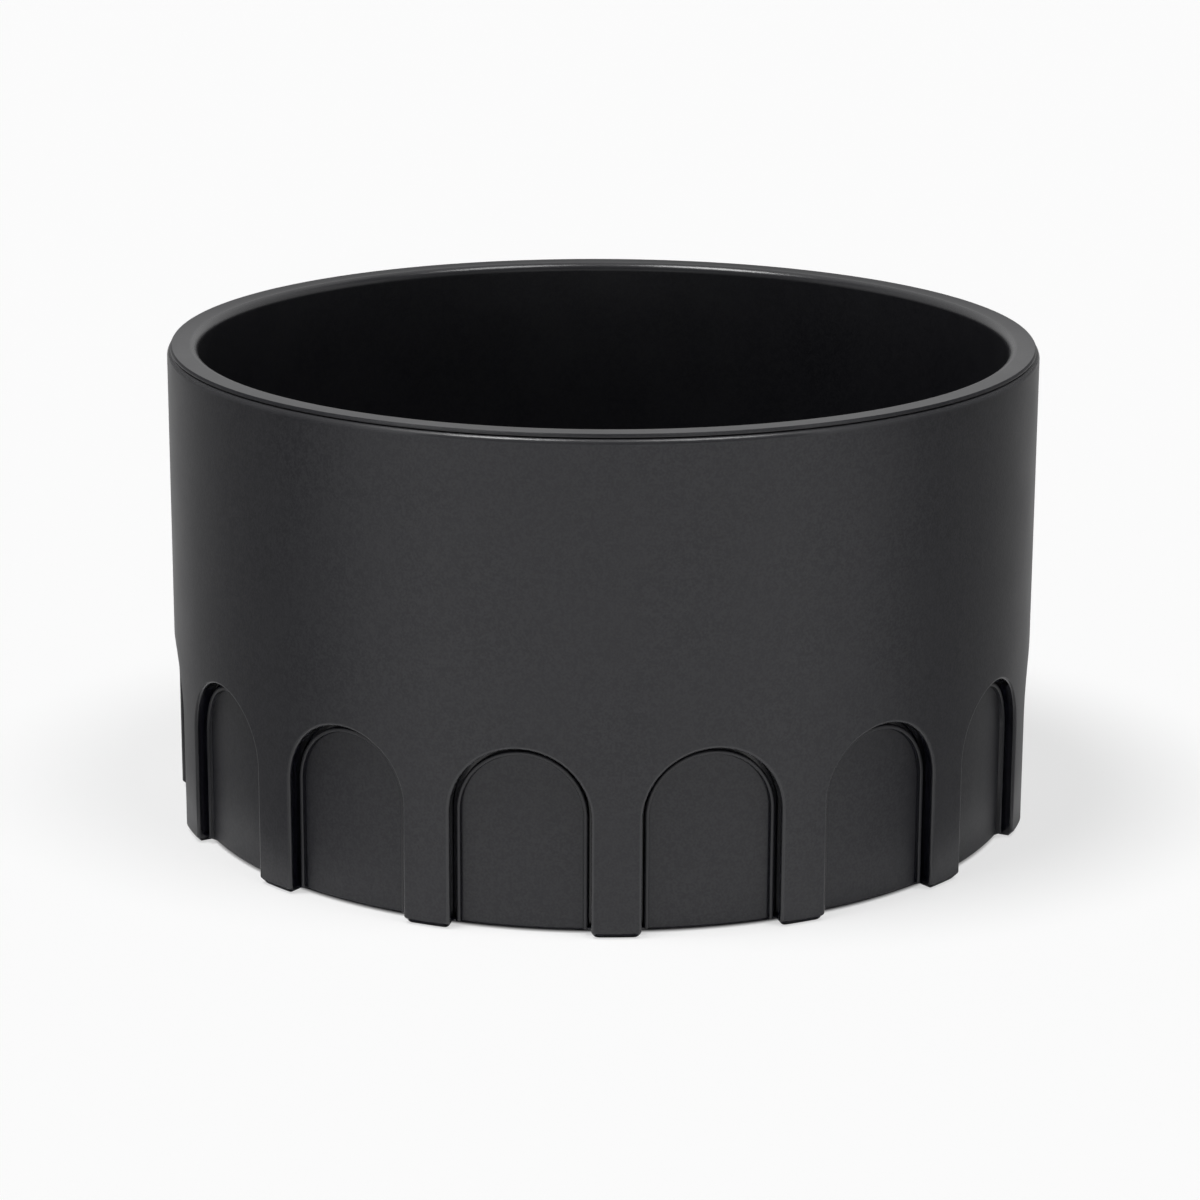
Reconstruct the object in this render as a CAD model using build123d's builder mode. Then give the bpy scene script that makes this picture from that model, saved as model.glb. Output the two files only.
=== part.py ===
"""Round holder for coffee capsules: an arcaded sleeve, a panelled band behind it and a lift-out tub.

Millimetres, +Z up. The origin is the centre of the circle of feet, on the table,
and the middle of one pillar faces -Y.
"""

import math
import os

from build123d import *

os.makedirs("parts", exist_ok=True)

# Overall sizes
outer_diameter = 184.0
overall_height = 101.3

# Sleeve: the outer tube; its skirt is thinner, which leaves a shoulder that the band butts against
sleeve_wall = 4.2
sleeve_edge_chamfer = 0.6
sleeve_lead_in = 0.4
skirt_wall = 3.6

# Arcade: arches cut through the sleeve, open at the bottom, with the pillars between them as feet
arch_count = 15
arch_height = 38.35
arch_edge_chamfer = 0.7
pillar_width = 10.2
foot_corner_round = 1.4

# Band behind the arches, with a raised panel in each arch and a bead along the panel's edge
band_wall = 1.2
band_lift = 0.5
band_overlap = 7.4
band_edge_chamfer = 0.3
panel_gap = 0.9
panel_height = 0.7
bead_width = 0.9
bead_height = 0.95

# Tub: the inner cup, which hangs on the sleeve by its rim
tub_wall = 1.2
tub_floor = 2.0
tub_base_chamfer = 3.0
tub_floor_chamfer = 4.0
foot_ring_inset = 9.0
foot_ring_width = 5.0
foot_ring_height = 0.8
collar_height = 6.0
collar_lead_in = 1.5
rim_inset = 0.3
rim_land = 0.15
rim_bevel_width = 0.4
rim_bevel_height = 0.7
rim_inner_chamfer = 1.2

# Clearances
band_clearance = 0.25
tub_clearance = 0.25
collar_clearance = 0.3
base_clearance = 1.2

# Helpers for cutting and choosing
cut_overrun = 5.0
on_wall_tolerance = 0.02
front_angle = -90
full_turn = 360
half_turn = 180

# Heights, from the table up
tub_underside = base_clearance + foot_ring_height
tub_floor_top = tub_underside + tub_floor
band_top = arch_height + band_overlap
seat_height = overall_height - rim_bevel_height - rim_land
collar_bottom = seat_height - collar_height
wall_top = collar_bottom - collar_lead_in

# Radii, from the outside to the inside
outer_radius = outer_diameter / 2
rim_radius = outer_radius - rim_inset
top_bore_radius = outer_radius - sleeve_wall
skirt_bore_radius = outer_radius - skirt_wall
collar_radius = top_bore_radius - collar_clearance
band_radius = skirt_bore_radius - band_clearance
band_bore_radius = band_radius - band_wall
panel_radius = band_radius + panel_height
bead_radius = panel_radius + bead_height
tub_radius = band_bore_radius - tub_clearance
tub_bore_radius = tub_radius - tub_wall

# Arcade layout: the pillars keep their width, and the arches take the rest of the circle of feet
pitch_angle = full_turn / arch_count
first_arch_angle = front_angle + pitch_angle / 2
pillar_half_angle = math.degrees(math.asin(pillar_width / 2 / outer_radius))
arch_radius = outer_radius * math.sin(math.radians(pitch_angle / 2 - pillar_half_angle))
spring_height = arch_height - arch_radius

# The turned profiles are drawn on the half plane through the middle of the front pillar
profile_plane = Plane(origin=(0, 0, 0), x_dir=(0, -1, 0), z_dir=(-1, 0, 0))


def draw_profile(*corners: tuple[float, float, float]) -> None:
    """Draw a closed outline, each corner given as its radius, its height and its chamfer."""
    places = [Vector(radius, height) for radius, height, _ in corners]
    points = []
    for index, (_, _, length) in enumerate(corners):
        before = (places[index - 1] - places[index]).normalized()
        after = (places[(index + 1) % len(places)] - places[index]).normalized()
        points += [places[index] + way * length for way in (before, after)] if length else [places[index]]
    Polyline(*points, close=True)


def draw_arch(half_width: float) -> None:
    """Draw a round-headed arch that runs out past the table, on the arches' own centre."""
    foot = -cut_overrun
    Polyline(
        (half_width, spring_height),
        (half_width, foot),
        (-half_width, foot),
        (-half_width, spring_height),
    )
    CenterArc((0, spring_height), half_width, 0, half_turn)


def lies_on_wall(edge: Edge) -> bool:
    """Say whether an edge lies on the sleeve's outer wall."""
    points = [edge @ share for share in (0, 0.5, 1)]
    gaps = [math.hypot(p.X, p.Y) - outer_radius for p in points]
    return all(abs(gap) < on_wall_tolerance for gap in gaps)


# One arch opening, along +X
with BuildPart() as arch_opening:
    with BuildSketch(Plane.YZ):
        with BuildLine():
            draw_arch(arch_radius)
        make_face()
    extrude(amount=outer_radius + cut_overrun)

# Sleeve: a turned tube, cut into an arcade, with one chamfer that runs round arches and feet
with BuildPart() as sleeve:
    with BuildSketch(profile_plane):
        with BuildLine():
            draw_profile(
                (skirt_bore_radius, 0, 0),
                (skirt_bore_radius, band_top, 0),
                (top_bore_radius, band_top, 0),
                (top_bore_radius, seat_height - sleeve_lead_in, 0),
                (top_bore_radius + sleeve_lead_in, seat_height, 0),
                (outer_radius, seat_height, sleeve_edge_chamfer),
                (outer_radius, 0, 0),
            )
        make_face()
    revolve(axis=Axis.Z)
    with PolarLocations(0, arch_count, first_arch_angle):
        add(arch_opening.part, mode=Mode.SUBTRACT)
    foot_corners = sleeve.edges().group_by(Axis.Z)[0].filter_by(GeomType.LINE)
    fillet(foot_corners, radius=foot_corner_round)
    arcade_edges = sleeve.edges().filter_by(lies_on_wall)
    chamfer(arcade_edges.filter_by(lambda edge: edge.center().Z < band_top), length=arch_edge_chamfer)
sleeve.part.label = "sleeve"
export_step(sleeve.part, "parts/sleeve.step")

# One recess, along +X: what the bead of a panel frames
with BuildPart() as recess:
    with BuildSketch(Plane.YZ):
        with BuildLine():
            draw_arch(arch_radius - panel_gap - bead_width)
        make_face()
    extrude(amount=outer_radius)
    Cylinder(panel_radius, 2 * overall_height, rotation=(0, 0, half_turn), mode=Mode.SUBTRACT)

# One panel, along +X: an arch-shaped pad that stands on the band, with its recess cut in
with BuildPart() as panel:
    with BuildSketch(Plane.YZ):
        with BuildLine():
            draw_arch(arch_radius - panel_gap)
        make_face()
    extrude(amount=outer_radius)
    with Locations((0, 0, band_lift)):
        Cylinder(
            bead_radius,
            band_top - band_lift,
            rotation=(0, 0, half_turn),
            align=(Align.CENTER, Align.CENTER, Align.MIN),
            mode=Mode.INTERSECT,
        )
    add(recess.part, mode=Mode.SUBTRACT)
    panel_root_radius = band_radius - band_wall / 2
    Cylinder(panel_root_radius, 2 * overall_height, rotation=(0, 0, half_turn), mode=Mode.SUBTRACT)

# Band: a turned ring that carries the panels and butts against the sleeve's shoulder
with BuildPart() as panel_band:
    with BuildSketch(profile_plane):
        with BuildLine():
            draw_profile(
                (band_radius, band_lift, band_edge_chamfer),
                (band_radius, band_top, 0),
                (band_bore_radius, band_top, 0),
                (band_bore_radius, band_lift, band_edge_chamfer),
            )
        make_face()
    revolve(axis=Axis.Z)
    with PolarLocations(0, arch_count, first_arch_angle):
        add(panel.part)
panel_band.part.label = "panel_band"
export_step(panel_band.part, "parts/panel_band.step")

# Tub: a turned cup with a foot ring, a collar that centres it in the sleeve and a bevelled rim
ring_outer_radius = tub_radius - foot_ring_inset
ring_inner_radius = ring_outer_radius - foot_ring_width

with BuildPart() as tub:
    with BuildSketch(profile_plane):
        with BuildLine():
            draw_profile(
                (0, tub_underside, 0),
                (ring_inner_radius, tub_underside, 0),
                (ring_inner_radius + foot_ring_height, base_clearance, 0),
                (ring_outer_radius - foot_ring_height, base_clearance, 0),
                (ring_outer_radius, tub_underside, 0),
                (tub_radius, tub_underside, tub_base_chamfer),
                (tub_radius, wall_top, 0),
                (collar_radius, collar_bottom, 0),
                (collar_radius, seat_height, 0),
                (rim_radius, seat_height, 0),
                (rim_radius, overall_height - rim_bevel_height, 0),
                (rim_radius - rim_bevel_width, overall_height, 0),
                (tub_bore_radius, overall_height, rim_inner_chamfer),
                (tub_bore_radius, tub_floor_top, tub_floor_chamfer),
                (0, tub_floor_top, 0),
            )
        make_face()
    revolve(axis=Axis.Z)
tub.part.label = "tub"
export_step(tub.part, "parts/tub.step")
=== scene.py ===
"""Look of the round capsule holder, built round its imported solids.

Metres, +Z up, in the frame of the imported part: Z is the holder's axis, the table is at Z = 0
and the middle of one pillar faces -Y.
"""

import logging
import math
from dataclasses import dataclass
from enum import Enum
from typing import NamedTuple

import bmesh
import bpy
from mathutils import Matrix, Vector

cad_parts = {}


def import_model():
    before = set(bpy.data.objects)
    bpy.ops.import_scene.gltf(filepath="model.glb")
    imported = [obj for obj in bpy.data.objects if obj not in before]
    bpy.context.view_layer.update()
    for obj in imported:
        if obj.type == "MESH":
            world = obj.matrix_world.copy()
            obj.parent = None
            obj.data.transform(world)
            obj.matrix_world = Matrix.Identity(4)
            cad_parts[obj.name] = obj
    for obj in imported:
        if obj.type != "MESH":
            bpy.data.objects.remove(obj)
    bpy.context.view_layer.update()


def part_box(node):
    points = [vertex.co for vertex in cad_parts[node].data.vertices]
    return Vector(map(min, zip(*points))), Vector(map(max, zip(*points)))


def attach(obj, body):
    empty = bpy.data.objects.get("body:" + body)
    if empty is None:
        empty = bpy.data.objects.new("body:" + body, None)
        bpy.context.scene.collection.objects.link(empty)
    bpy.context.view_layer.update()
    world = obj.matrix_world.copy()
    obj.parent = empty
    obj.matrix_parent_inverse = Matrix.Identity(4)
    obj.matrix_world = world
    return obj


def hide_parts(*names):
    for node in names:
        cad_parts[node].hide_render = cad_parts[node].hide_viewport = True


LOG = logging.getLogger("capsule_holder")

MM = 0.001
# Mesh attribute for burnished edges, which also paints a highlight along their roundings.
BURNISH_HIGHLIGHT_NAME = "edge_burnish_and_highlight"
BARE_NAME = "bare_of_grain"

Colour = tuple[float, float, float]


class Spot(NamedTuple):
    """A point of a mesh, placed round the holder's axis.

    Attributes:
        angle: Angle round the axis.
        height: Height above the table.
        radius: Distance from the axis.
        burnish_and_highlight: How burnished the surface is there, with the painted highlight it carries,
            from 0 to 1.
        bare: How smooth the mould left it, from 0 to 1.
    """

    angle: float
    height: float
    radius: float
    burnish_and_highlight: float = 0.0
    bare: float = 0.0


def mix(start: float, end: float, share: float) -> float:
    """Return the value that lies the given share of the way from start to end."""
    return start + (end - start) * share


def shares(steps: int) -> list[float]:
    """Return the shares 0 to 1 in equal steps, both ends included."""
    return [step / steps for step in range(steps + 1)]


def towards(azimuth: float, elevation: float) -> Vector:
    """Return the way from the holder to a place round it.

    Args:
        azimuth: Turn from straight in front, to the right as seen from there.
        elevation: Angle above the horizon.

    Returns:
        A vector of length 1.
    """
    level = math.cos(elevation)
    return Vector((math.sin(azimuth) * level, -math.cos(azimuth) * level, math.sin(elevation)))


class Body(Enum):
    """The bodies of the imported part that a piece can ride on."""

    HOLDER = "holder"
    TUB = "tub"


@dataclass(frozen=True)
class Corner:
    """One corner of a turned profile.

    Attributes:
        radius: Distance from the holder's axis.
        height: Height above the table.
        rounding: Radius of the corner's rounding, or 0 for a sharp one.
        burnish_and_highlight: How burnished the middle of the rounding is, with a painted highlight there,
            from 0 to 1.
    """

    radius: float
    height: float
    rounding: float = 0.0
    burnish_and_highlight: float = 0.0


def rounded(corners: list[Corner], steps: int) -> list[Spot]:
    """Turn a profile's corners into points, with an arc at each rounded corner.

    Args:
        corners: The corners in order; the first and last stay sharp.
        steps: How many segments each arc gets.

    Returns:
        The points of the profile, at angle 0.
    """
    points = []
    for index, corner in enumerate(corners):
        here = Vector((corner.radius, corner.height))
        if corner.rounding == 0.0:
            points.append(Spot(0.0, corner.height, corner.radius))
            continue
        before = Vector((corners[index - 1].radius, corners[index - 1].height))
        after = Vector((corners[index + 1].radius, corners[index + 1].height))
        arrive = (here - before).normalized()
        leave = (after - here).normalized()
        turn = arrive.angle_signed(leave)
        reach = corner.rounding * math.tan(abs(turn) / 2)
        side = Vector((arrive.y, -arrive.x)) if turn > 0 else Vector((-arrive.y, arrive.x))
        centre = here - arrive * reach + side * corner.rounding
        for share in shares(steps):
            spoke = -side
            spoke.rotate(Matrix.Rotation(-turn * share, 2))
            radius, height = centre + spoke * corner.rounding
            points.append(Spot(0.0, height, radius, corner.burnish_and_highlight * math.sin(math.pi * share)))
    return points


def add_to_scene(name: str, data: bpy.types.ID) -> bpy.types.Object:
    """Make an object of a mesh, lamp or camera and put it in the scene.

    Args:
        name: Name of the new object.
        data: The mesh, lamp or camera.

    Returns:
        The object, at the origin.
    """
    made = bpy.data.objects.new(name, data)
    bpy.context.scene.collection.objects.link(made)
    return made


def mesh_to_scene(name: str, shape: bmesh.types.BMesh) -> bpy.types.Object:
    """Make an object of a finished shape, which is freed, and put it in the scene.

    Args:
        name: Name of the new object and of its mesh.
        shape: The shape.

    Returns:
        The object, at the origin.
    """
    data = bpy.data.meshes.new(name)
    shape.to_mesh(data)
    shape.free()
    return add_to_scene(name, data)


class Shell:
    """A closed mesh in the making, welded and shaded when it is finished.

    Attributes:
        WELD: Distance up to which points are welded into one.
        SHARP: Angle between two faces from which their edge stays sharp.
    """

    WELD = 0.002 * MM
    SHARP = math.radians(38)

    def __init__(self) -> None:
        """Start with no points and no faces."""
        self.mesh = bmesh.new()
        layers = self.mesh.verts.layers.float
        for name in (BURNISH_HIGHLIGHT_NAME, BARE_NAME):
            layers.new(name)
        self.burnish_and_highlight = layers[BURNISH_HIGHLIGHT_NAME]
        self.bare = layers[BARE_NAME]

    def point(self, spot: Spot) -> bmesh.types.BMVert:
        """Add a point.

        Args:
            spot: Where it lies, how burnished it is and how much painted highlight it carries.

        Returns:
            The new point.
        """
        across, deep = math.cos(spot.angle), math.sin(spot.angle)
        made = self.mesh.verts.new((spot.radius * across, spot.radius * deep, spot.height))
        made[self.burnish_and_highlight] = spot.burnish_and_highlight
        made[self.bare] = spot.bare
        return made

    def net(self, rows: list[list[Spot]]) -> None:
        """Join rows of points, all of one length, into a net of quads.

        Args:
            rows: The points, row by row.
        """
        grid = [[self.point(spot) for spot in row] for row in rows]
        for row, following in zip(grid, grid[1:]):
            for index in range(len(row) - 1):
                corners = (row[index], row[index + 1], following[index + 1], following[index])
                self.mesh.faces.new(corners)

    def plate(self, outline: list[Spot]) -> None:
        """Close a flat outline with one face."""
        self.mesh.faces.new([self.point(spot) for spot in outline])

    def turn(self, profile: list[Spot], angles: list[float]) -> None:
        """Turn a profile round the axis.

        Args:
            profile: The points of the profile.
            angles: The angles of the turned copies, the first one repeated at the end.
        """
        self.net([[spot._replace(angle=angle) for spot in profile] for angle in angles])

    def finish(self, name: str) -> bpy.types.Object:
        """Weld the mesh, smooth it between its sharp edges and put it in the scene.

        Args:
            name: Name of the new object.

        Returns:
            The object, at the origin.
        """
        bmesh.ops.remove_doubles(self.mesh, verts=self.mesh.verts, dist=self.WELD)
        bmesh.ops.recalc_face_normals(self.mesh, faces=self.mesh.faces)
        for face in self.mesh.faces:
            face.smooth = True
        for edge in self.mesh.edges:
            edge.smooth = edge.calc_face_angle(0.0) < self.SHARP
        loose = sum(1 for edge in self.mesh.edges if not edge.is_manifold)
        piece = mesh_to_scene(name, self.mesh)
        weights = piece.modifiers.new("even_normals", "WEIGHTED_NORMAL")
        weights.keep_sharp = True
        LOG.info("%s: %d faces, %d open edges", name, len(piece.data.polygons), loose)
        return piece


class Value:
    """One socket of a node graph; arithmetic on it adds Math nodes."""

    def __init__(self, graph: "Graph", socket: bpy.types.NodeSocket) -> None:
        """Keep the socket and the graph that new nodes go into."""
        self.graph = graph
        self.socket = socket

    def _math(self, operation: str, first: "Value | float", second: "Value | float") -> "Value":
        """Add a Math node and return its result."""
        return self.graph.node("ShaderNodeMath", {"operation": operation}, {0: first, 1: second})["Value"]

    def __add__(self, other: "Value | float") -> "Value":
        """Add."""
        return self._math("ADD", self, other)

    def __radd__(self, other: float) -> "Value":
        """Add to a number."""
        return self._math("ADD", other, self)

    def __sub__(self, other: "Value | float") -> "Value":
        """Subtract."""
        return self._math("SUBTRACT", self, other)

    def __rsub__(self, other: float) -> "Value":
        """Subtract from a number."""
        return self._math("SUBTRACT", other, self)

    def __mul__(self, other: "Value | float") -> "Value":
        """Multiply."""
        return self._math("MULTIPLY", self, other)

    def __rmul__(self, other: float) -> "Value":
        """Multiply a number."""
        return self._math("MULTIPLY", other, self)

    def step(self, start: float, end: float) -> "Value":
        """Return 0 before start, 1 after end and a smooth rise between them."""
        sockets = {"Value": self, "From Min": start, "From Max": end}
        return self.graph.node("ShaderNodeMapRange", {"interpolation_type": "SMOOTHSTEP"}, sockets)["Result"]


class Placed:
    """A node in a graph, whose outputs are read by name or place."""

    def __init__(self, graph: "Graph", node: bpy.types.Node) -> None:
        """Keep the node and its graph."""
        self.graph = graph
        self.node = node

    def __getitem__(self, output: str | int) -> Value:
        """Return an output as a value."""
        return Value(self.graph, self.node.outputs[output])


class Graph:
    """The nodes of one material or of the world.

    Attributes:
        MIX_INPUTS: Places of the factor and the two colours among a Mix node's inputs.
        MIX_RESULT: Place of the mixed colour among its outputs.
    """

    MIX_INPUTS = (0, 6, 7)
    MIX_RESULT = 2

    def __init__(self, owner: bpy.types.Material | bpy.types.World) -> None:
        """Empty the owner's node tree."""
        owner.use_nodes = True
        self.tree = owner.node_tree
        self.tree.nodes.clear()

    def node(
        self,
        kind: str,
        settings: dict[str, object] | None = None,
        sockets: dict[str | int, object] | None = None,
    ) -> Placed:
        """Add a node.

        Args:
            kind: The node's type.
            settings: Its settings, set before its sockets.
            sockets: A value, a colour or a link for each named or numbered input.

        Returns:
            The node, ready to be linked.
        """
        node = self.tree.nodes.new(kind)
        for name, setting in (settings or {}).items():
            setattr(node, name, setting)
        for name, given in (sockets or {}).items():
            if isinstance(given, Value):
                self.tree.links.new(given.socket, node.inputs[name])
            else:
                node.inputs[name].default_value = given
        return Placed(self, node)

    def blend(self, share: Value, first: Value | tuple, second: Value | tuple) -> Value:
        """Mix two colours.

        Args:
            share: How much of the second colour shows.
            first: The colour at 0.
            second: The colour at 1.

        Returns:
            The mixed colour.
        """
        sockets = dict(zip(self.MIX_INPUTS, (share, first, second)))
        return self.node("ShaderNodeMix", {"data_type": "RGBA"}, sockets)[self.MIX_RESULT]

    def place(self) -> Value:
        """Return the point on the surface, in the holder's own frame."""
        return self.node("ShaderNodeTexCoord")["Object"]

    def attribute(self, name: str) -> Value:
        """Return the value of one of the mesh's own attributes."""
        return self.node("ShaderNodeAttribute", {"attribute_name": name})["Fac"]

    def noise(self, size: float, detail: float) -> Value:
        """Return soft noise from 0 to 1, of the given size in metres and octaves of detail."""
        sockets = {"Vector": self.place(), "Scale": 1.0 / size, "Detail": detail}
        return self.node("ShaderNodeTexNoise", {}, sockets)["Fac"]


def rgba(colour: Colour) -> tuple[float, float, float, float]:
    """Return a colour with full alpha."""
    return (*colour, 1.0)


def grey(level: float) -> tuple[float, float, float, float]:
    """Return a neutral grey of the given brightness, with full alpha."""
    return rgba((level, level, level))


@dataclass(frozen=True)
class MouldedPlastic:
    """Black moulded plastic with a fine grain.

    Attributes:
        name: Name of the material.
        colour: Colour of the plastic.
        bloom: Colour of the slightly greyer patches in it.
        tops: Colour of the tops of its grain.
        burnished_highlight: Colour of its burnished edges, lighter to paint a highlight along them.
        roughness: Middle roughness.
        unevenness: How far the roughness strays either way.
        polish: How much smoother the burnished, highlight-painted edges are.
        grain: Size of the moulded grain.
        depth: Depth of the grain.
        slick: How much smoother the surfaces bare of grain are.
        fine_share: Share of the finer of the two sizes of grain.
        coarse_ratio: How many times larger the coarser size is.
        grain_detail: Octaves of noise in the grain.
        tops_range: Heights of the grain between which its tops set in.
        patch: Size of the soft patches.
        patch_detail: Octaves of noise in the patches.
        bloom_range: Strengths of the patches between which they turn greyer.
        burnish_highlight_base: Share of the edges' burnishing and painted highlight that shows where a patch
            is weakest.
        burnish_highlight_gain: How much that share grows where a patch is strongest.
    """

    name: str
    colour: Colour
    bloom: Colour
    tops: Colour
    burnished_highlight: Colour
    roughness: float
    unevenness: float
    polish: float
    grain: float
    depth: float
    slick: float = 0.27
    fine_share: float = 0.65
    coarse_ratio: float = 3.0
    grain_detail: float = 1.0
    tops_range: tuple[float, float] = (0.36, 0.64)
    patch: float = 14.0 * MM
    patch_detail: float = 4.0
    bloom_range: tuple[float, float] = (0.35, 0.75)
    burnish_highlight_base: float = 0.7
    burnish_highlight_gain: float = 0.6

    def material(self) -> bpy.types.Material:
        """Make the material.

        Returns:
            A new material of this finish.
        """
        made = bpy.data.materials.new(self.name)
        graph = Graph(made)
        patches = graph.noise(self.patch, self.patch_detail)
        fine = graph.noise(self.grain, self.grain_detail)
        coarse = graph.noise(self.coarse_ratio * self.grain, self.grain_detail)
        bare = graph.attribute(BARE_NAME)
        grain = (fine * self.fine_share + coarse * (1 - self.fine_share)) * (1 - bare)
        bump = graph.node("ShaderNodeBump", {}, {"Strength": 1.0, "Distance": self.depth, "Height": grain})
        # Burnished edges, lightened so that their colour paints a highlight along the roundings.
        burnished_highlight = graph.attribute(BURNISH_HIGHLIGHT_NAME) * (self.burnish_highlight_base + self.burnish_highlight_gain * patches)
        body = graph.blend(patches.step(*self.bloom_range), rgba(self.colour), rgba(self.bloom))
        body = graph.blend(grain.step(*self.tops_range), body, rgba(self.tops))
        spread = (2 * patches - 1) * self.unevenness
        sockets = {
            "Base Color": graph.blend(burnished_highlight, body, rgba(self.burnished_highlight)),
            "Roughness": self.roughness + spread - burnished_highlight * self.polish - bare * self.slick,
            "Normal": bump["Normal"],
        }
        plastic = graph.node("ShaderNodeBsdfPrincipled", {}, sockets)
        graph.node("ShaderNodeOutputMaterial", {}, {"Surface": plastic["BSDF"]})
        return made


@dataclass(frozen=True)
class Station:
    """One place along the edge of an arch.

    Attributes:
        across: Distance from the arch's middle line.
        height: Height above the table.
        normal: Direction into the wall, across and up.
        spine_angle: Angle from the arch's middle of the matching point where the bay ends.
        spine_height: Height of that point.
        pillar_share: How far the place has moved towards the pillar's middle line.
        limit: Largest distance from the axis that the surface reaches here.
        lip: How much of the band's lower lip there is here, from 0 to 1.
        chamfer: How far the edge's rounding is flattened here, from 0 to 1.
    """

    across: float
    height: float
    normal: tuple[float, float]
    spine_angle: float
    spine_height: float
    pillar_share: float = 0.0
    limit: float = math.inf
    lip: float = 0.0
    chamfer: float = 0.0


@dataclass(frozen=True)
class Track:
    """A line of points that runs along the whole edge of an arch.

    Attributes:
        radius: Distance from the holder's axis.
        offset: Distance from the edge, into the wall.
        to_spine: Share of the way from the edge to where the bay ends.
        to_middle: Share of the way from the edge to the arch's middle line.
        burnish_and_highlight: How burnished the surface is along it, with a painted highlight there, from 0
            to 1.
        bare: How smooth the mould left it along there, from 0 to 1.
        lip: How far it stands out where the band has its lower lip.
    """

    radius: float
    offset: float
    to_spine: float = 0.0
    to_middle: float = 0.0
    burnish_and_highlight: float = 0.0
    bare: float = 0.0
    lip: float = 0.0


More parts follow.
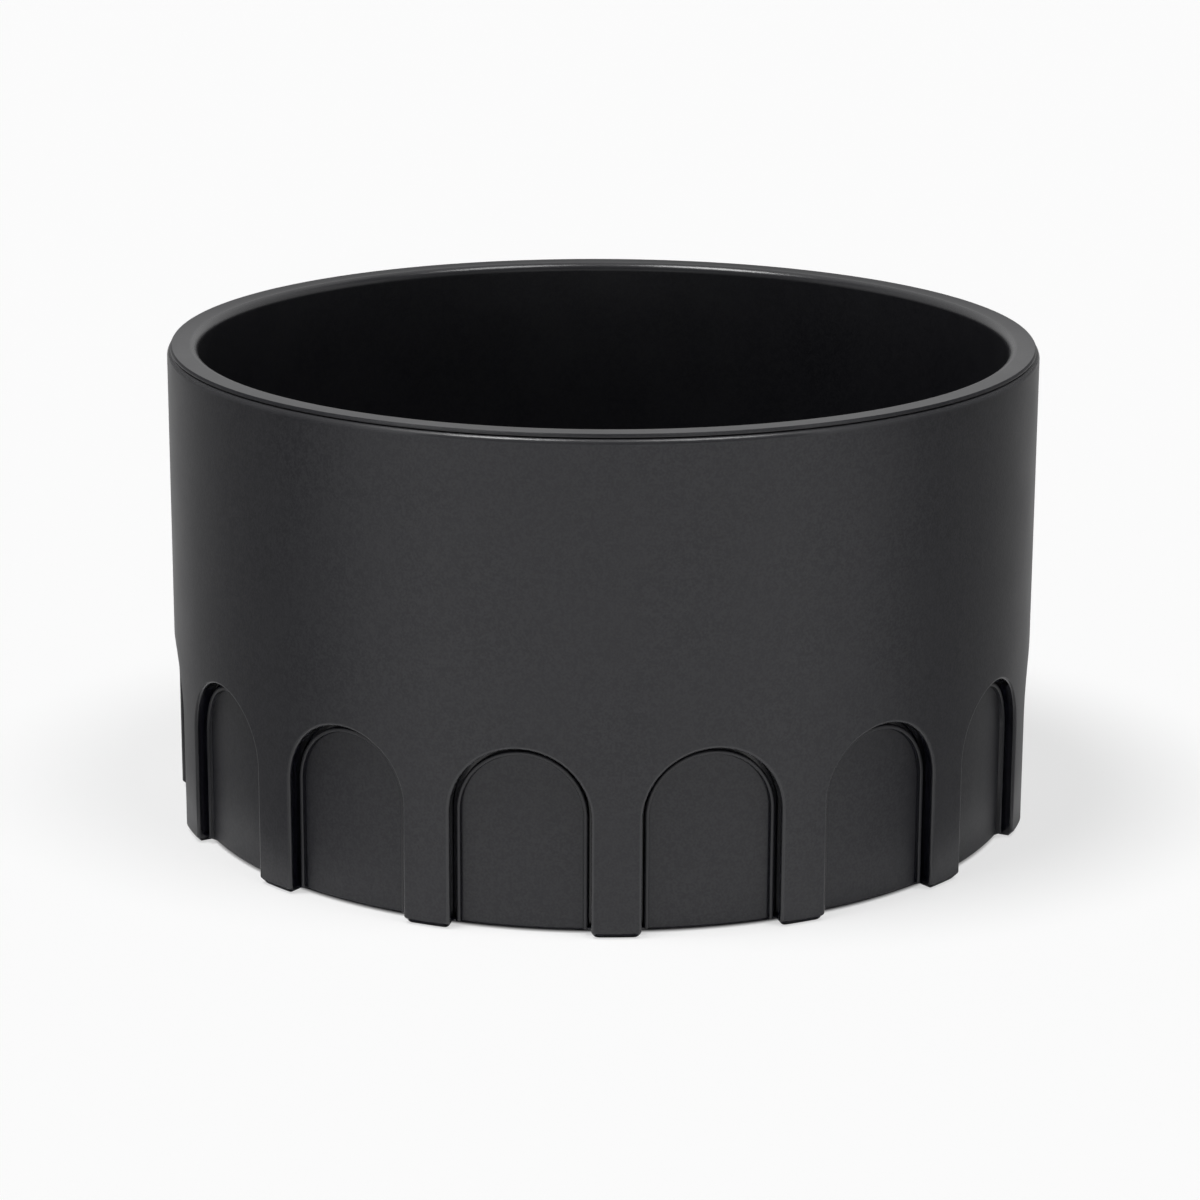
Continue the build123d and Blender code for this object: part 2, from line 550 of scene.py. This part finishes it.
@dataclass(frozen=True)
class Arcade:
    """Layout of the arches round the holder, and the edge that each one follows.

    Attributes:
        radius: Radius of the sleeve's outer wall.
        count: Number of arches.
        height: Height of an arch's crown.
        pillar_width: Width of a pillar at its foot, measured on the outer wall.
        foot_corner: Rounding of the lower corners of a pillar.
        chamfer_end: Share of that rounding after which the foot's chamfer fades out.
        head_room: Height of wall above the crown that still belongs to a bay.
        foot_steps: Stations along half a pillar's end.
        corner_steps: Segments round its corner.
        jamb_steps: Segments up a jamb.
        rise_steps: Segments of the head that face a pillar's middle line.
        crown_steps: Segments of the head that face the plain wall above.
    """

    radius: float
    count: int = 15
    height: float = 38.35 * MM
    pillar_width: float = 10.2 * MM
    foot_corner: float = 1.4 * MM
    chamfer_end: float = 0.5
    head_room: float = 4.0 * MM
    foot_steps: int = 3
    corner_steps: int = 6
    jamb_steps: int = 8
    rise_steps: int = 14
    crown_steps: int = 12

    @property
    def half_pitch(self) -> float:
        """Angle from the middle of an arch to the middle of a pillar."""
        return math.pi / self.count

    @property
    def half_width(self) -> float:
        """Half the width of an arch, which is also the radius of its head."""
        pillar = math.asin(self.pillar_width / 2 / self.radius)
        return self.radius * math.sin(self.half_pitch - pillar)

    @property
    def spring(self) -> float:
        """Height where the jambs end and the round head starts."""
        return self.height - self.half_width

    @property
    def top_line(self) -> float:
        """Height where the bays end and the plain wall starts."""
        return self.height + self.head_room

    def bays(self) -> list[float]:
        """Return the angles of the arches' middles."""
        first = self.half_pitch - math.pi / 2
        return [first + 2 * self.half_pitch * bay for bay in range(self.count)]

    def around(self) -> list[float]:
        """Return the angles of every column of points on the plain wall, once round."""
        columns = 2 * self.crown_steps * self.count
        first = self.bays()[0]
        return [first + 2 * math.pi * column / columns for column in range(columns + 1)]

    def half_turn(self) -> list[float]:
        """Return the angles of the plain wall's columns from a pillar's middle to an arch's."""
        return [self.half_pitch * (1 - share) for share in shares(self.crown_steps)]

    def foot(self, start: float, end: float) -> list[Station]:
        """List the stations along a pillar's end and round its corner.

        Args:
            start: Height of the first matching point on the pillar's middle line.
            end: Height of the last one.

        Returns:
            The stations from the pillar's middle line to the foot of the jamb.
        """
        corner = self.foot_corner
        middle = self.half_width + corner
        flat = [(0.0, 1 - share) for share in shares(self.foot_steps)[:-1]]
        places = flat + [(share, 0.0) for share in shares(self.corner_steps)]
        stations = []
        for along, (turned, pillar_share) in zip(shares(len(places) - 1), places):
            normal = (math.sin(turned * math.pi / 2), math.cos(turned * math.pi / 2))
            stations.append(
                Station(
                    across=middle - corner * normal[0],
                    height=corner * (1 - normal[1]),
                    normal=normal,
                    spine_angle=self.half_pitch,
                    spine_height=mix(start, end, along),
                    pillar_share=pillar_share,
                    chamfer=min(1.0, (1 - turned) / (1 - self.chamfer_end)),
                )
            )
        return stations

    def jamb(self, start: float, spine_start: float) -> list[Station]:
        """List the stations up a jamb.

        Args:
            start: Height of the first station.
            spine_start: Height of its matching point on the pillar's middle line.

        Returns:
            The stations from start to just below the round head.
        """
        return [
            Station(
                across=self.half_width,
                height=mix(start, self.spring, share),
                normal=(1.0, 0.0),
                spine_angle=self.half_pitch,
                spine_height=mix(spine_start, self.spring, share),
            )
            for share in shares(self.jamb_steps)[:-1]
        ]

    def head(self) -> list[Station]:
        """List the stations over the round head.

        Returns:
            The stations from the spring to the crown.
        """
        rise = [mix(self.spring, self.top_line, share) for share in shares(self.rise_steps)]
        spine = [(self.half_pitch, height) for height in rise]
        spine += [(angle, self.top_line) for angle in self.half_turn()[1:]]
        stations = []
        for share, (angle, height) in zip(shares(len(spine) - 1), spine):
            normal = (math.cos(share * math.pi / 2), math.sin(share * math.pi / 2))
            stations.append(
                Station(
                    across=self.half_width * normal[0],
                    height=self.spring + self.half_width * normal[1],
                    normal=normal,
                    spine_angle=angle,
                    spine_height=height,
                )
            )
        return stations

    def at(self, station: Station, track: Track) -> Spot:
        """Find where a track passes a station.

        Args:
            station: The place along the arch's edge.
            track: The line that runs along that edge.

        Returns:
            The point, with its angle measured from the arch's middle.
        """
        height = station.height + track.offset * station.normal[1]
        radius = min(track.radius + track.lip * station.lip, station.limit)
        angle = math.asin((station.across + track.offset * station.normal[0]) / radius)
        angle = mix(angle, self.half_pitch, station.pillar_share)
        angle = mix(angle, station.spine_angle, track.to_spine)
        height = mix(height, station.spine_height, track.to_spine)
        return Spot(mix(angle, 0.0, track.to_middle), height, radius, track.burnish_and_highlight, track.bare)

    def repeat(self, half_bay: list[list[Spot]]) -> list[list[list[Spot]]]:
        """Copy half a bay's rows of points to both halves of every bay.

        Args:
            half_bay: Rows of points, with angles measured from the arch's middle.

        Returns:
            One set of rows for each half bay.
        """
        return [
            [[spot._replace(angle=bay + side * spot.angle) for spot in row] for row in half_bay]
            for bay in self.bays()
            for side in (-1, 1)
        ]


@dataclass(frozen=True)
class Sleeve:
    """The outer tube, cut into an arcade whose pillars are the feet.

    Attributes:
        arcade: The layout of its arches.
        seat_height: Height of its top edge, which carries the tub.
        shoulder_height: Height of the shoulder inside, which the band butts against.
        finish: The plastic it is moulded from.
        wall: Thickness above the shoulder.
        skirt_wall: Thickness below the shoulder.
        lead_in: Chamfer inside the top edge.
        top_round: Rounding of the top edge outside.
        edge_round: Rounding of the arches' edges.
        foot_chamfer: Chamfer round the pillars' ends.
        foot_height: Height on a pillar's middle line that matches the foot of the jamb.
        inner_chamfer: Chamfer of the arches' edges inside.
        arc_steps: Segments of each rounding.
        wall_rows: Rows of facets up the plain wall.
        outer_shares: Places of the points between a bay's end and the arch's edge, outside.
        inner_shares: Places of the points between the arch's edge and a bay's end, inside.
    """

    arcade: Arcade
    seat_height: float
    shoulder_height: float
    finish: MouldedPlastic
    wall: float = 4.2 * MM
    skirt_wall: float = 3.6 * MM
    lead_in: float = 0.4 * MM
    top_round: float = 1.35 * MM
    edge_round: float = 0.75 * MM
    foot_chamfer: float = 1.1 * MM
    foot_height: float = 4.2 * MM
    inner_chamfer: float = 0.15 * MM
    arc_steps: int = 6
    wall_rows: int = 6
    outer_shares: tuple[float, ...] = (1.0, 0.75, 0.5, 0.25)
    inner_shares: tuple[float, ...] = (0.0, 0.5, 1.0)

    def tracks(self, chamfer: float) -> list[Track]:
        """List the tracks from the outer wall, round an arch's edge and on to the inner wall.

        Args:
            chamfer: How far the edge's rounding is flattened into a chamfer.

        Returns:
            The tracks, as many for any edge.
        """
        outside = self.arcade.radius
        inside = outside - self.skirt_wall
        size = mix(self.edge_round, self.foot_chamfer, chamfer)
        found = [Track(outside, size, to_spine=share) for share in self.outer_shares]
        for share in shares(self.arc_steps):
            turn = share * math.pi / 2
            drop = size * mix(1 - math.cos(turn), share, chamfer)
            offset = size * mix(1 - math.sin(turn), 1 - share, chamfer)
            # Burnishing and a painted highlight, strongest in the middle of the rounding.
            burnish_and_highlight = math.sin(math.pi * share) * (1 - chamfer)
            bare = max(share * share, chamfer)
            found.append(Track(outside - drop, offset, burnish_and_highlight=burnish_and_highlight, bare=bare))
        found.append(Track(inside + self.inner_chamfer, 0.0, bare=1.0 - chamfer))
        found += [Track(inside, self.inner_chamfer, to_spine=share) for share in self.inner_shares]
        return found

    def build(self) -> bpy.types.Object:
        """Make the sleeve's mesh and dress it.

        Returns:
            The sleeve, riding on the holder.
        """
        arcade = self.arcade
        shell = Shell()
        stations = arcade.foot(self.foot_chamfer, self.foot_height)[:-1]
        stations += arcade.jamb(arcade.foot_corner, self.foot_height) + arcade.head()
        half_bay = [
            [arcade.at(station, track) for track in self.tracks(station.chamfer)] for station in stations
        ]
        for rows in arcade.repeat(half_bay):
            shell.net(rows)
        shell.turn(self.upper_profile(), arcade.around())
        piece = shell.finish("sleeve_shell")
        piece.data.materials.append(self.finish.material())
        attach(piece, Body.HOLDER.value)
        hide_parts("sleeve")
        return piece

    def upper_profile(self) -> list[Spot]:
        """Draw the turned profile above the arches.

        Returns:
            Its points, from the outer wall over the top and down inside.
        """
        outside = self.arcade.radius
        start = self.arcade.top_line
        bore = outside - self.wall
        skirt = outside - self.skirt_wall
        wall_end = self.seat_height - self.top_round
        levels = [mix(start, wall_end, share) for share in shares(self.wall_rows)[:-1]]
        corners = [Corner(outside, level) for level in levels]
        corners += [
            # The top edge's rounding carries burnishing and a painted highlight.
            Corner(outside, self.seat_height, self.top_round, burnish_and_highlight=1.0),
            Corner(bore + self.lead_in, self.seat_height),
            Corner(bore, self.seat_height - self.lead_in),
            Corner(bore, self.shoulder_height),
            Corner(skirt, self.shoulder_height),
            Corner(skirt, start),
        ]
        return rounded(corners, self.arc_steps)


@dataclass(frozen=True)
class PanelBand:
    """The ring behind the arches, with a raised panel in each of them and a bead along its edge.

    Attributes:
        arcade: The layout of the arches.
        crest: Radius of the beads' crests.
        lift: Height of its lower edge above the table.
        top: Height of its upper edge.
        finish: The plastic it is moulded from.
        wall: Thickness of the ring.
        gap: Width of the slot between a panel and its arch.
        panel_height: How far the panels stand out from the ring.
        bead_width: Width of the beads.
        bead_height: How far the beads stand out from the panels.
        bead_round: Rounding of the beads' edges.
        bead_slope: How far a bead's inner side leans.
        lower_inset: Depth of the chamfer at the panels' lower edge.
        lower_height: Height of that chamfer.
        lip_depth: How far the lower lip stands out from the ring.
        lip_height: Height of the lip.
        lip_slope: Height of the slope above it.
        lip_clearance: Gap between the lip and the sleeve.
        arc_steps: Segments of each rounding.
        hidden_shares: Places of the points between a bay's end and the arch's edge, behind the pillar.
        face_shares: Places of the points between a bead and the panel's middle line.
    """

    arcade: Arcade
    crest: float
    lift: float
    top: float
    finish: MouldedPlastic
    wall: float = 1.2 * MM
    gap: float = 0.9 * MM
    panel_height: float = 0.7 * MM
    bead_width: float = 0.9 * MM
    bead_height: float = 0.95 * MM
    bead_round: float = 0.4 * MM
    bead_slope: float = 0.15 * MM
    lower_inset: float = 0.75 * MM
    lower_height: float = 0.75 * MM
    lip_depth: float = 1.9 * MM
    lip_height: float = 1.1 * MM
    lip_slope: float = 0.3 * MM
    lip_clearance: float = 0.06 * MM
    arc_steps: int = 4
    hidden_shares: tuple[float, ...] = (1.0, 0.67, 0.33, 0.0)
    face_shares: tuple[float, ...] = (0.02, 0.25, 0.5, 0.75, 1.0)

    @property
    def panel_radius(self) -> float:
        """Radius of the panels' faces."""
        return self.crest - self.bead_height

    @property
    def radius(self) -> float:
        """Radius of the ring's outer face."""
        return self.panel_radius - self.panel_height

    def tracks(self) -> list[Track]:
        """List the tracks across half a bay.

        Returns:
            The tracks from behind the pillar, over the bead and across the face inside it.
        """
        edge = -self.lip_clearance
        outer = -self.gap
        inner = outer - self.bead_width
        foot = inner - self.bead_slope
        arc = [share * math.pi / 2 for share in shares(self.arc_steps)]
        rise = [(1 - math.cos(turn), 1 - math.sin(turn)) for turn in arc]
        found = [Track(self.radius, edge, to_spine=share, bare=1.0) for share in self.hidden_shares]
        found += [Track(self.radius, offset, lip=self.lip_depth, bare=1.0) for offset in (edge, outer)]
        # The bead's crest carries burnishing and a painted highlight.
        for over, down in rise:
            radius = self.crest - self.bead_round * down
            found.append(Track(radius, outer - self.bead_round * over, burnish_and_highlight=1 - down))
        for over, down in reversed(rise):
            radius = self.crest - self.bead_round * down
            found.append(Track(radius, inner + self.bead_round * over, burnish_and_highlight=1 - down, bare=down))
        found.append(Track(self.panel_radius, foot, bare=1.0))
        found += [Track(self.panel_radius, foot, to_middle=share) for share in self.face_shares]
        return found

    def stations(self) -> list[Station]:
        """List the stations up a panel's edge.

        Returns:
            The stations from the underside, over the lower chamfer and lip and up over the arch.
        """
        arcade = self.arcade
        lip_top = self.lift + self.lip_height
        levels = [
            (self.lift, self.panel_radius - self.lower_inset),
            (self.lift + self.lower_height, math.inf),
            (lip_top, math.inf),
        ]
        lower = [
            Station(arcade.half_width, height, (1.0, 0.0), arcade.half_pitch, height, limit=limit, lip=1.0)
            for height, limit in levels
        ]
        start = lip_top + self.lip_slope
        return lower + arcade.jamb(start, start) + arcade.head()

    def build(self) -> bpy.types.Object:
        """Make the band's mesh and dress it.

        Returns:
            The band, riding on the holder.
        """
        arcade = self.arcade
        bore = self.radius - self.wall
        shell = Shell()
        half_bay = [[arcade.at(station, track) for track in self.tracks()] for station in self.stations()]
        for rows in arcade.repeat(half_bay):
            shell.net(rows)
        underside = half_bay[0] + [Spot(angle, self.lift, bore) for angle in reversed(arcade.half_turn())]
        for rows in arcade.repeat([underside]):
            shell.plate(rows[0])
        ring = [
            Corner(self.radius, arcade.top_line),
            Corner(self.radius, self.top),
            Corner(bore, self.top),
            Corner(bore, self.lift),
        ]
        shell.turn(rounded(ring, self.arc_steps), arcade.around())
        piece = shell.finish("panel_band_shell")
        piece.data.materials.append(self.finish.material())
        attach(piece, Body.HOLDER.value)
        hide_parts("panel_band")
        return piece


@dataclass(frozen=True)
class Tub:
    """The inner cup, which hangs on the sleeve by its rim.

    Attributes:
        arcade: The layout whose columns of points the cup shares.
        rim_radius: Radius of the solid's rim.
        base: Height of the foot ring above the table.
        top: Height of the rim.
        seat_height: Height of the sleeve's top edge.
        finish: The plastic it is moulded from.
        radius: Radius of the wall outside.
        wall: Thickness of the wall.
        floor: Thickness of the floor.
        base_round: Rounding between wall and underside.
        floor_round: Rounding between wall and floor, inside.
        ring_inset: How far the foot ring stands in from the wall.
        ring_width: Width of the foot ring.
        ring_height: Height of the foot ring.
        collar_radius: Radius of the collar that centres the cup.
        collar_height: Height of the collar.
        collar_lead_in: Height of the slope below it.
        rim_setback: How far the rim stands back from that.
        gap_depth: Depth of the shadow gap under the rim's edge.
        gap_height: Height of that gap.
        bevel_width: Width of the rim's bevel.
        bevel_height: Height of the bevel.
        inner_round: Rounding of the rim's inner edge.
        edge_round: Rounding of the bevel's edges.
        arc_steps: Segments of each rounding.
    """

    arcade: Arcade
    rim_radius: float
    base: float
    top: float
    seat_height: float
    finish: MouldedPlastic
    radius: float = 86.7 * MM
    wall: float = 1.2 * MM
    floor: float = 2.0 * MM
    base_round: float = 5.0 * MM
    floor_round: float = 7.0 * MM
    ring_inset: float = 9.0 * MM
    ring_width: float = 5.0 * MM
    ring_height: float = 0.8 * MM
    collar_radius: float = 87.5 * MM
    collar_height: float = 6.0 * MM
    collar_lead_in: float = 1.5 * MM
    rim_setback: float = 0.4 * MM
    gap_depth: float = 1.5 * MM
    gap_height: float = 0.18 * MM
    bevel_width: float = 0.3 * MM
    bevel_height: float = 0.45 * MM
    inner_round: float = 1.9 * MM
    edge_round: float = 0.12 * MM
    arc_steps: int = 8

    def profile(self) -> list[Spot]:
        """Draw the cup's turned profile.

        Returns:
            Its points, from the axis underneath to the axis inside.
        """
        underside = self.base + self.ring_height
        floor_top = underside + self.floor
        collar_low = self.seat_height - self.collar_height
        wall_top = collar_low - self.collar_lead_in
        bore = self.radius - self.wall
        ring_out = self.radius - self.ring_inset
        ring_in = ring_out - self.ring_width
        rim = self.rim_radius - self.rim_setback
        gap_top = self.seat_height + self.gap_height
        corners = [
            Corner(0.0, underside),
            Corner(ring_in, underside),
            Corner(ring_in + self.ring_height, self.base),
            Corner(ring_out - self.ring_height, self.base),
            Corner(ring_out, underside),
            Corner(self.radius, underside, self.base_round),
            Corner(self.radius, wall_top),
            Corner(self.collar_radius, collar_low),
            Corner(self.collar_radius, self.seat_height),
            Corner(rim - self.gap_depth, self.seat_height),
            Corner(rim - self.gap_depth, gap_top),
            Corner(rim, gap_top),
            Corner(rim, self.top - self.bevel_height, self.edge_round),
            Corner(rim - self.bevel_width, self.top, self.edge_round),
            # The rim's inner rounding carries burnishing and a painted highlight.
            Corner(bore, self.top, self.inner_round, burnish_and_highlight=1.0),
            Corner(bore, floor_top, self.floor_round),
            Corner(0.0, floor_top),
        ]
        return rounded(corners, self.arc_steps)

    def build(self) -> bpy.types.Object:
        """Make the cup's mesh and dress it.

        Returns:
            The cup, riding on the tub's body.
        """
        shell = Shell()
        shell.turn(self.profile(), self.arcade.around())
        piece = shell.finish("tub_shell")
        piece.data.materials.append(self.finish.material())
        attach(piece, Body.TUB.value)
        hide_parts("tub")
        return piece


@dataclass(frozen=True)
class PhotoCamera:
    """The camera of the photograph, found from the holder's outline, feet and arches.

    Attributes:
        azimuth: Turn round the holder from straight in front.
        elevation: Angle above the horizon.
        distance: Distance from the point looked at.
        aim_side: How far that point lies to the right of the axis, seen from the camera.
        aim_height: Height of that point.
        roll: Turn about the line of sight.
        focal_pixels: Focal length in pixels of the picture.
        picture: Width and height of the picture in pixels.
        sensor: Width of the sensor in millimetres.
    """

    azimuth: float = math.radians(-1.89)
    elevation: float = math.radians(15.56)
    distance: float = 820.0 * MM
    aim_side: float = -0.48 * MM
    aim_height: float = 43.39 * MM
    roll: float = math.radians(0.25)
    focal_pixels: float = 3795.0
    picture: float = 1200.0
    sensor: float = 36.0

    def build(self) -> bpy.types.Object:
        """Place the camera.

        Returns:
            The camera, made the scene's own.
        """
        data = bpy.data.cameras.new("photo_camera")
        data.sensor_width = self.sensor
        data.lens = self.focal_pixels / self.picture * self.sensor
        camera = add_to_scene("photo_camera", data)
        back = towards(self.azimuth, self.elevation)
        right = Vector((math.cos(self.azimuth), math.sin(self.azimuth), 0.0))
        aim = right * self.aim_side + Vector((0.0, 0.0, self.aim_height))
        turn = (-back).to_track_quat("-Z", "Y").to_matrix() @ Matrix.Rotation(self.roll, 3, "Z")
        camera.matrix_world = Matrix.Translation(aim + back * self.distance) @ turn.to_4x4()
        bpy.context.scene.camera = camera
        return camera


@dataclass(frozen=True)
class HighLamp:
    """A soft lamp, high up and far off, so that it lights the whole floor alike.

    Attributes:
        name: Name of the lamp.
        azimuth: Turn round the holder from straight in front.
        elevation: Angle above the horizon.
        strength: Light that falls on a surface facing it, in watts per square metre.
        spread: Angle over which it is spread out.
    """

    name: str
    azimuth: float
    elevation: float
    strength: float
    spread: float = math.radians(22)

    def build(self) -> bpy.types.Object:
        """Hang the lamp.

        Returns:
            The lamp, facing the holder.
        """
        data = bpy.data.lights.new(self.name, "SUN")
        data.energy = self.strength
        data.angle = self.spread
        lamp = add_to_scene(self.name, data)
        way = towards(self.azimuth, self.elevation)
        lamp.rotation_euler = (-way).to_track_quat("-Z", "Y").to_euler()
        return lamp


# Painted reflection: a glowing card that is no lamp and shows only in reflections, dim at the sides with a
# dark strip at the rim's height.
@dataclass(frozen=True)
class ReflectionCard:
    """A dim card that stands round the sides and back and shows in reflections only.

    Attributes:
        radius: Distance from the holder's axis.
        height: Height of the card.
        opening: Angle that it leaves open at the front.
        front: Its brightness at the two front edges.
        side: Its brightness at the sides.
        back: Its brightness behind the holder.
        strip: Brightness of the dark strip at the height of the holder's rim, which paints a dark reflection
            on the edges there.
        top: Its brightness above that strip.
        dims: Where it dims and gets its strip from front to side, in radii behind the axis.
        brightens: Where it brightens from side to back, in the same measure.
        strip_start: Heights between which the dark strip starts.
        strip_end: Heights between which it ends behind the holder.
        side_rise: How much higher it reaches at the sides.
        side_ends: Where that rise ends, in radii behind the axis.
        columns: Number of facets.
    """

    radius: float = 0.105
    height: float = 0.2
    opening: float = math.radians(56)
    front: float = 0.85
    side: float = 0.3
    back: float = 0.8
    strip: float = 0.2
    top: float = 0.64
    dims: tuple[float, float] = (-0.9, -0.6)
    brightens: tuple[float, float] = (-0.42, 0.4)
    strip_start: tuple[float, float] = (0.095, 0.1)
    strip_end: tuple[float, float] = (0.105, 0.112)
    side_rise: float = 0.09
    side_ends: tuple[float, float] = (0.0, 0.2)
    columns: int = 48

    def build(self) -> bpy.types.Object:
        """Stand the card up.

        Returns:
            The card, seen in reflections only.
        """
        shape = bmesh.new()
        edges = []
        for share in shares(self.columns):
            turn = self.opening / 2 + (2 * math.pi - self.opening) * share
            foot = towards(turn, 0.0) * self.radius
            edges.append([shape.verts.new(foot), shape.verts.new(foot + Vector((0.0, 0.0, self.height)))])
        for (low, high), (next_low, next_high) in zip(edges, edges[1:]):
            shape.faces.new((low, next_low, next_high, high))
        card = mesh_to_scene("reflection_card", shape)
        card.data.materials.append(self.material())
        # Seen only by glossy rays, so its glow paints reflections and nothing else.
        card.visible_camera = False
        card.visible_diffuse = False
        card.visible_shadow = False
        card.visible_transmission = False
        return card

    def material(self) -> bpy.types.Material:
        """Make the card's glow.

        Returns:
            A new material, which changes from front to back and upwards.
        """
        made = bpy.data.materials.new("reflection_glow_card")
        graph = Graph(made)
        # Painted reflection: the glow's brightness is set by place, to shade what the holder mirrors.
        split = graph.node("ShaderNodeSeparateXYZ", {}, {"Vector": graph.place()})
        behind = split["Y"] * (1 / self.radius)
        aside = behind.step(*self.dims)
        shade = graph.blend(aside, grey(self.front), grey(self.side))
        shade = graph.blend(behind.step(*self.brightens), shade, grey(self.back))
        shade = graph.blend(split["Z"].step(*self.strip_start) * aside, shade, grey(self.strip))
        level = split["Z"] - (1 - behind.step(*self.side_ends)) * self.side_rise
        shade = graph.blend(level.step(*self.strip_end), shade, grey(self.top))
        glow = graph.node("ShaderNodeEmission", {}, {"Color": shade})
        graph.node("ShaderNodeOutputMaterial", {}, {"Surface": glow["Emission"]})
        return made


@dataclass(frozen=True)
class Studio:
    """A white floor in a white room with a dim ceiling, soft lamps and a dim card.

    Attributes:
        floor_colour: Colour of the floor.
        floor_glow: How far the floor is lifted towards white where it is seen or mirrored.
        seen_from: Distances from the axis between which the lift starts where the floor is seen; nearer,
            under the holder, the floor stays in its shadow.
        mirrored_from: The same where the floor is mirrored.
        floor_radius: Radius of the round floor.
        floor_sides: Number of its sides.
        room: Brightness of the room near the horizon.
        ceiling: Brightness of the room overhead.
        ceiling_start: Height, on a globe of radius 1, where the room starts to dim.
        ceiling_end: Height on that globe where it is fully dim.
        lights: The lamps and the card.
    """

    floor_colour: Colour = (0.93, 0.93, 0.93)
    floor_glow: float = 0.6
    seen_from: tuple[float, float] = (86.8 * MM, 88.8 * MM)
    mirrored_from: tuple[float, float] = (93.0 * MM, 99.0 * MM)
    floor_radius: float = 8.0
    floor_sides: int = 96
    room: float = 1.0
    ceiling: float = 0.06
    ceiling_start: float = 0.05
    ceiling_end: float = 0.35
    lights: tuple[HighLamp | ReflectionCard, ...] = (
        HighLamp("left_lamp", azimuth=math.radians(-72), elevation=math.radians(70), strength=1.9),
        HighLamp("right_lamp", azimuth=math.radians(58), elevation=math.radians(70), strength=1.05),
        ReflectionCard(),
    )

    def build(self) -> None:
        """Lay the floor, light the room and hang the lamps."""
        self.lay_floor()
        self.light_room()
        for light in self.lights:
            light.build()

    def lay_floor(self) -> bpy.types.Object:
        """Make the round floor.

        Returns:
            The floor.
        """
        shape = bmesh.new()
        bmesh.ops.create_circle(shape, cap_ends=True, segments=self.floor_sides, radius=self.floor_radius)
        floor = mesh_to_scene("floor", shape)
        floor.data.materials.append(self.floor_material())
        return floor

    def floor_material(self) -> bpy.types.Material:
        """Make the floor's matt white.

        Returns:
            A new material that is lifted towards white where it is seen or mirrored.
        """
        made = bpy.data.materials.new("white_floor")
        graph = Graph(made)
        matt = graph.node("ShaderNodeBsdfDiffuse", {}, {"Color": rgba(self.floor_colour)})
        white = graph.node("ShaderNodeEmission")
        path = graph.node("ShaderNodeLightPath")
        reach = graph.node("ShaderNodeVectorMath", {"operation": "LENGTH"}, {0: graph.place()})["Value"]
        seen = path["Is Camera Ray"] * reach.step(*self.seen_from)
        mirrored = (path["Is Glossy Ray"] + path["Is Transmission Ray"]) * reach.step(*self.mirrored_from)
        glow = (seen + mirrored) * self.floor_glow
        sockets = {0: glow, 1: matt["BSDF"], 2: white["Emission"]}
        lifted = graph.node("ShaderNodeMixShader", {}, sockets)
        graph.node("ShaderNodeOutputMaterial", {}, {"Surface": lifted["Shader"]})
        return made

    def light_room(self) -> None:
        """Make the world: white round the horizon, dim overhead."""
        world = bpy.data.worlds.new("studio_room")
        bpy.context.scene.world = world
        graph = Graph(world)
        way = graph.node("ShaderNodeTexCoord")["Generated"]
        up = graph.node("ShaderNodeSeparateXYZ", {}, {"Vector": way})["Z"]
        overhead = up.step(self.ceiling_start, self.ceiling_end)
        shade = graph.blend(overhead, grey(self.room), grey(self.ceiling))
        back = graph.node("ShaderNodeBackground", {}, {"Color": shade})
        graph.node("ShaderNodeOutputWorld", {}, {"Surface": back["Background"]})


SLEEVE_PLASTIC = MouldedPlastic(
    name="sleeve_black_plastic",
    colour=(0.005, 0.005, 0.0085),
    bloom=(0.009, 0.009, 0.0125),
    tops=(0.0155, 0.0155, 0.019),
    burnished_highlight=(0.034, 0.034, 0.037),
    roughness=0.42,
    unevenness=0.05,
    # Lighter colour of the burnished edges, which paints their highlight.
    polish=0.16,
    grain=0.5 * MM,
    depth=0.03 * MM,
)
BAND_PLASTIC = MouldedPlastic(
    name="band_black_plastic",
    colour=(0.0045, 0.0045, 0.008),
    bloom=(0.008, 0.008, 0.0115),
    tops=(0.0145, 0.0145, 0.018),
    burnished_highlight=(0.014, 0.014, 0.017),
    roughness=0.45,
    unevenness=0.05,
    # Lighter colour of the burnished edges, which paints their highlight.
    polish=0.03,
    grain=0.5 * MM,
    depth=0.03 * MM,
)
TUB_PLASTIC = MouldedPlastic(
    name="tub_black_plastic",
    colour=(0.0095, 0.0095, 0.0125),
    bloom=(0.0125, 0.0125, 0.0155),
    tops=(0.017, 0.017, 0.02),
    burnished_highlight=(0.03, 0.03, 0.033),
    roughness=0.32,
    unevenness=0.04,
    # Lighter colour of the burnished edges, which paints their highlight.
    polish=0.08,
    grain=0.45 * MM,
    depth=0.02 * MM,
)


def main() -> None:
    """Build and dress the holder, the studio and the camera."""
    logging.basicConfig(level=logging.INFO, format="%(name)s: %(message)s")
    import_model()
    _, sleeve_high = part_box("sleeve")
    band_low, band_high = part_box("panel_band")
    tub_low, tub_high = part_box("tub")
    seat = sleeve_high.z
    arcade = Arcade(sleeve_high.x)
    pieces = [
        Sleeve(arcade, seat, band_high.z, SLEEVE_PLASTIC).build(),
        PanelBand(arcade, band_high.x, band_low.z, band_high.z, BAND_PLASTIC).build(),
        Tub(arcade, tub_high.x, tub_low.z, tub_high.z, seat, TUB_PLASTIC).build(),
    ]
    bpy.context.scene.view_settings.view_transform = "Standard"
    Studio().build()
    PhotoCamera().build()


if __name__ == "__main__":
    main()
